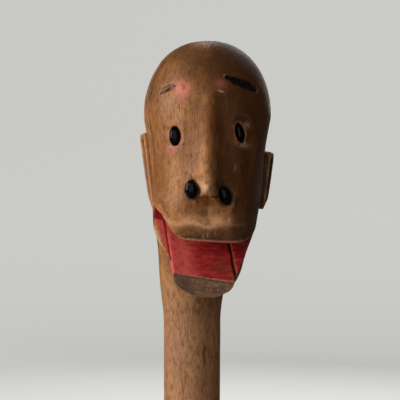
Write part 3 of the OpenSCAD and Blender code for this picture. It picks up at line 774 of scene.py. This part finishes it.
# The -X edge of the jaw's top stands a little proud, close to the cheek, and its side is red too.
jaw_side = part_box("jaw")[0].x / mm
beside = smooth_step(0.5, 0.2, jaw.points[:, 0] / mm - jaw_side)
jaw.mark("red", beside * smooth_step(3.0, 4.0, above))
left_rise = smooth_step(5.0, 0.6, across - jaw_side) * smooth_step(knuckle - 0.9, knuckle - 0.4, above)
edge_rise, side_swell = 0.36, 0.13
jaw.push(edge_rise * left_rise * smooth_step(4, 8, along), (0, -math.sin(jaw_slope), level))
jaw.push(side_swell * beside * smooth_step(knuckle - 2.0, knuckle - 1.0, above), (-1, 0, 0))
# The red on the jaw is painted lighter towards -X, as painted light.
jaw.mark("faded", smooth_step(-3, -13, jaw.points[:, 0] / mm) * 0.85)

top_line = 0.6 * hump(above, 5.0, 0.5)
middle_line = 0.35 * hump(above, 0.6 + 0.5 * np.sin(across * 0.7), 0.35)
low_line = 0.35 * hump(above, -2.2 + 0.4 * np.sin(across * 0.9), 0.3)
jaw.mark("grime", on_chin * (top_line + middle_line))
jaw.mark("grime", on_chin * low_line)
low_chip = hump(across, -5.5, 1.2) * hump(above, -3.6, 0.9)
high_chip = hump(across, 0.8, 0.9) * hump(above, 2.6, 0.7)
jaw.mark("chip", on_chin * (low_chip + high_chip))
# A patch of painted shade darkens the jaw's red near its front.
jaw.mark("rub", hump(jaw.points[:, 0] / mm, 3.5, 2.8) * hump(along, 25, 3.5))
jaw.dull = smooth_step(knuckle - 3, knuckle - 1.5, above) * smooth_step(28.0, 27.0, along)
jaw.finish("jaw", "red_paint", jaw_wood, "jaw")

# ---- Ears ----
# Two flat slips of wood, let into the sides of the head and pegged there. Each is hollowed a little
# inside its rim.
ear_hollow = 1.1
ear_foot_height = 5.0
ear_foot_lean = 0.5
ear_stands_from = 22.5
for side_name, seed, outward in (("left", 31, -1), ("right", 32, 1)):
    node = "ear_" + side_name
    ear = Carving("ear_slip_" + side_name, node, voxel=0.35, rounds=20, keep_edge=0.2, fade=1.2)
    foot = np.clip((ear.points[:, 2] - ear.points[:, 2].min()) / mm / ear_foot_height, 0, 1)
    out = (head_axes(ear.points)[0] * outward - ear_stands_from).clip(0, 8)
    ear.push(-outward * ear_foot_lean * out * (1 - foot) ** 1.5, head_sideways)
    outer = smooth_step(0.6, 0.85, ear.normals @ head_sideways * outward)
    inside = smooth_step(1.6, 3.4, ear.from_cut)
    ear.push(-ear_hollow * outer * inside)
    ear.knife_facets(size=4, depth=0.4, seed=seed, weight=smooth_step(0.4, 1.4, ear.from_cut))
    ear.mark("grime", outer * inside * 0.5)
    ear_side, _, ear_up = head_axes(ear.points)
    # Each ear is darker towards the crown, and the +X ear carries the painted shade of the head's +X half.
    ear.mark("stain", 1.15 * stain_and_shade_of(ear_side, ear_up))
    ear.finish("stick", "wood", head_wood, node)

# ---- Eyes and nostrils ----
# Domed beads of black glass, two for the eyes and two for the nostrils. Each is pressed into its
# carved opening until it lies just below the wood.
glass = bpy.data.materials.new("black_bead")
glass.use_nodes = True
glass_tree = glass.node_tree
glass_shader = glass_tree.nodes["Principled BSDF"]
glass_place = glass_tree.nodes.new("ShaderNodeTexCoord").outputs["Object"]
dusty = noise_node(glass_tree, glass_place, 900, detail=4.0, roughness=0.6, shift=6.1)
clean_black, dusty_black = (0.002, 0.002, 0.003), (0.012, 0.009, 0.008)
tint = blend_node(glass_tree, rise_node(glass_tree, dusty, 0.55, 0.75), clean_black, dusty_black)
glass_tree.links.new(tint, glass_shader.inputs["Base Color"])
glass_tree.links.new(math_node(glass_tree, "MULTIPLY", dusty, 0.16), glass_shader.inputs["Roughness"])
glass_shader.inputs["Specular IOR Level"].default_value = 0.1

bead_sink = {"eye_left": 1.7, "eye_right": 1.7, "nostril_left": 1.0, "nostril_right": 0.6}
bead_dome = 1.6
tucked_wide, tucked_tall = 1.06, 1.02
rings, spokes = 14, 40
for node, tip, lean, wide, tall, top_share, foot_share in openings:
    middle, across, long_axis, half_w, half_h = socket_shape(node)
    back = head_axes(numbers(frame["nodes"][node].data))[1].min()
    face_side, face_ahead, face_up = head_axes(face.points)
    around = np.hypot((face_side - middle[0]) / half_w, (face_up - middle[1]) / half_h)
    wall = np.percentile(face_ahead[(around > 1.2) & (around < 1.7) & (face_ahead > back + 2)], 50)
    turn = math.radians(lean)
    bead = bmesh.new()
    rows = []
    for i in range(rings + 1):
        swell = math.radians(90 * i / rings)
        row = []
        for j in range(spokes):
            angle = 2 * math.pi * j / spokes
            x = tucked_wide * half_w * wide * math.cos(angle) * math.cos(swell)
            y = tucked_tall * half_h * tall * math.sin(angle) * math.cos(swell)
            flat = middle + (x * math.cos(turn) + y * math.sin(turn)) * across
            flat = flat + (y * math.cos(turn) - x * math.sin(turn)) * long_axis
            reach = wall - bead_sink[node] - bead_dome + bead_dome * math.sin(swell)
            spot = Vector(head_sideways) * (flat[0] * mm) + Vector(head_forward) * (reach * mm)
            spot += Vector((*head_middle, 0))
            row.append(bead.verts.new((spot.x, spot.y, flat[1] * mm)))
            if i == rings:
                break
        rows.append(row)
    for low_row, high_row in zip(rows, rows[1:]):
        for j in range(spokes):
            k = (j + 1) % spokes
            corners = [low_row[j], low_row[k]]
            corners += [high_row[0]] if len(high_row) == 1 else [high_row[k], high_row[j]]
            bead.faces.new(corners)
    bead.faces.new(rows[0][::-1])
    bmesh.ops.recalc_face_normals(bead, faces=bead.faces)
    mesh = bpy.data.meshes.new(node + "_bead")
    bead.to_mesh(mesh)
    bead.free()
    mesh.shade_smooth()
    mesh.materials.append(glass)
    piece = bpy.data.objects.new(node + "_bead", mesh)
    bpy.context.collection.objects.link(piece)
    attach(piece, "stick")
    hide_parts(node)

# ---- Hinge pin, pull wire and lever ----
# The jaw swings on a plain steel pin. A steel wire down the back of the stick pulls a brass lever
# through the nape, and two staples hold the wire in its groove.


def metal_wear():
    """Draw marks, dark tarnish and rust spots, in colour, roughness and height."""
    tree = bpy.data.node_groups.new("metal_wear", "ShaderNodeTree")
    taken = {"Bright": "Color", "Dull": "Color", "Spots": "Color", "Spot Share": "Float"}
    given = {"Colour": "Color", "Roughness": "Float", "Bareness": "Float", "Height": "Float"}
    for in_out, sockets in (("INPUT", taken), ("OUTPUT", given)):
        for name, kind in sockets.items():
            tree.interface.new_socket(name, in_out=in_out, socket_type="NodeSocket" + kind)
    take = tree.nodes.new("NodeGroupInput").outputs
    give = tree.nodes.new("NodeGroupOutput").inputs
    place = tree.nodes.new("ShaderNodeTexCoord").outputs["Object"]
    drawn = noise_node(tree, place, 2600, stretch=(1, 1, 0.12), detail=4.0, roughness=0.6, shift=2.9)
    cloud = noise_node(tree, place, 300, stretch=(1, 1, 0.5), detail=5.0, roughness=0.65, shift=7.3)
    spot = noise_node(tree, place, 900, stretch=(1, 1, 0.8), detail=5.0, roughness=0.7, shift=11.1)
    spots = math_node(tree, "MULTIPLY", rise_node(tree, spot, 0.52, 0.66), take["Spot Share"])
    colour = blend_node(tree, rise_node(tree, cloud, 0.36, 0.62), take["Bright"], take["Dull"])
    tree.links.new(blend_node(tree, spots, colour, take["Spots"]), give["Colour"])
    rough = math_node(tree, "ADD", math_node(tree, "MULTIPLY", cloud, 0.4), 0.18)
    rough = math_node(tree, "ADD", rough, math_node(tree, "MULTIPLY", spots, 0.35))
    height = math_node(tree, "ADD", drawn, math_node(tree, "MULTIPLY", spots, 0.8))
    tree.links.new(rough, give["Roughness"])
    tree.links.new(math_node(tree, "SUBTRACT", 1.0, spots), give["Bareness"])
    tree.links.new(height, give["Height"])
    return tree


metal_tree = metal_wear()


def old_metal(name, bright, dull, spots, spot_share):
    material = bpy.data.materials.new(name)
    material.use_nodes = True
    tree = material.node_tree
    shader = tree.nodes["Principled BSDF"]
    wear = tree.nodes.new("ShaderNodeGroup")
    wear.node_tree = metal_tree
    wear_sockets = [wear.inputs[key] for key in ("Bright", "Dull", "Spots", "Spot Share")]
    feed(tree, wear_sockets, (bright, dull, spots, spot_share))
    bump = tree.nodes.new("ShaderNodeBump")
    bump.inputs["Strength"].default_value = 0.35
    bump.inputs["Distance"].default_value = 0.05 * mm
    for output, socket in (
        ("Colour", shader.inputs["Base Color"]), ("Roughness", shader.inputs["Roughness"]),
        ("Bareness", shader.inputs["Metallic"]), ("Height", bump.inputs["Height"]),
    ):
        tree.links.new(wear.outputs[output], socket)
    tree.links.new(bump.outputs["Normal"], shader.inputs["Normal"])
    return material


old_steel = old_metal(
    "old_steel", bright=(0.52, 0.5, 0.47), dull=(0.3, 0.28, 0.25), spots=(0.14, 0.05, 0.02), spot_share=0.75,
)
old_brass = old_metal(
    "old_brass", bright=(0.62, 0.42, 0.16), dull=(0.36, 0.22, 0.08), spots=(0.09, 0.06, 0.03), spot_share=0.6,
)
metal_of = {
    "hinge_pin": old_steel, "pull_wire": old_steel, "wire_staples": old_steel,
    "lever": old_brass, "lever_rivet": old_brass, "wire_collar": old_brass,
}
for node, metal in metal_of.items():
    for material_slot in frame["nodes"][node].material_slots:
        material_slot.material = metal

# ---- Return spring ----
# A close-wound spring of thin steel wire round the pull wire, in a pocket behind the neck. It stands
# on the pocket's floor, and the brass collar presses on its top when the wire is pulled.
spring_low, spring_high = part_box("return_spring")
spring_wire = 0.5 * mm
spring_radius = (spring_high.x - spring_low.x) / 2 - spring_wire / 2
spring_height = spring_high.z - spring_low.z - spring_wire
spring_turns = 15
spring_middle = (spring_low + spring_high) / 2
spring_axis = (spring_middle.x, spring_middle.y, spring_low.z + spring_wire / 2)
steps_per_turn = 28
sides_of_wire = 10

coil_tree = bpy.data.node_groups.new("wound_spring", "GeometryNodeTree")
coil_tree.interface.new_socket("Geometry", in_out="INPUT", socket_type="NodeSocketGeometry")
coil_sizes = {
    "Turns": ("Float", spring_turns),
    "Radius": ("Float", spring_radius),
    "Height": ("Float", spring_height),
    "Wire Radius": ("Float", spring_wire / 2),
    "Foot": ("Vector", spring_axis),
    "Metal": ("Material", old_steel),
}
coil_sockets = {}
for name, (kind, _) in coil_sizes.items():
    socket = coil_tree.interface.new_socket(name, in_out="INPUT", socket_type="NodeSocket" + kind)
    coil_sockets[name] = socket.identifier
coil_tree.interface.new_socket("Geometry", in_out="OUTPUT", socket_type="NodeSocketGeometry")
take = coil_tree.nodes.new("NodeGroupInput").outputs
give = coil_tree.nodes.new("NodeGroupOutput").inputs
helix = coil_tree.nodes.new("GeometryNodeCurveSpiral")
helix.inputs["Resolution"].default_value = steps_per_turn
section = coil_tree.nodes.new("GeometryNodeCurvePrimitiveCircle")
section.inputs["Resolution"].default_value = sides_of_wire
drawn_wire = coil_tree.nodes.new("GeometryNodeCurveToMesh")
drawn_wire.inputs["Fill Caps"].default_value = True
stand = coil_tree.nodes.new("GeometryNodeTransform")
real = coil_tree.nodes.new("GeometryNodeRealizeInstances")
give_metal = coil_tree.nodes.new("GeometryNodeSetMaterial")
for start, end in (
    (take["Turns"], helix.inputs["Rotations"]),
    (take["Radius"], helix.inputs["Start Radius"]),
    (take["Radius"], helix.inputs["End Radius"]),
    (take["Height"], helix.inputs["Height"]),
    (take["Wire Radius"], section.inputs["Radius"]),
    (helix.outputs["Curve"], drawn_wire.inputs["Curve"]),
    (section.outputs["Curve"], drawn_wire.inputs["Profile Curve"]),
    (drawn_wire.outputs["Mesh"], stand.inputs["Geometry"]),
    (take["Foot"], stand.inputs["Translation"]),
    (stand.outputs["Geometry"], real.inputs["Geometry"]),
    (real.outputs["Geometry"], give_metal.inputs["Geometry"]),
    (take["Metal"], give_metal.inputs["Material"]),
    (give_metal.outputs["Geometry"], give["Geometry"]),
):
    coil_tree.links.new(start, end)
coil = bpy.data.objects.new("coil", bpy.data.meshes.new("coil"))
bpy.context.collection.objects.link(coil)
winding = coil.modifiers.new("winding", "NODES")
winding.node_group = coil_tree
for name, (_, value) in coil_sizes.items():
    winding[coil_sockets[name]] = value
coil_mesh = bpy.data.meshes.new_from_object(coil.evaluated_get(bpy.context.evaluated_depsgraph_get()))
bpy.data.objects.remove(coil)
coil_mesh.shade_smooth()
spring = bpy.data.objects.new("spring_coil", coil_mesh)
bpy.context.collection.objects.link(spring)
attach(spring, "stick")
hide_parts("return_spring")
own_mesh(spring)

# ---- Dowels and pegs ----
# Plain beech dowels hold the glued face to the back of the head, and a beech peg runs through each
# ear. They are bare wood, and hidden in their holes.
dowel_wood = carved_wood(
    "dowel_wood", pale=(0.5, 0.31, 0.15), middle=(0.4, 0.23, 0.1), dark=(0.16, 0.08, 0.035),
    stain_and_shade_strength=0.0, weathered=0.4, fineness=1.6, pore_share=0.5,
)
for node in ("face_dowels", "ear_pegs"):
    for material_slot in frame["nodes"][node].material_slots:
        material_slot.material = dowel_wood
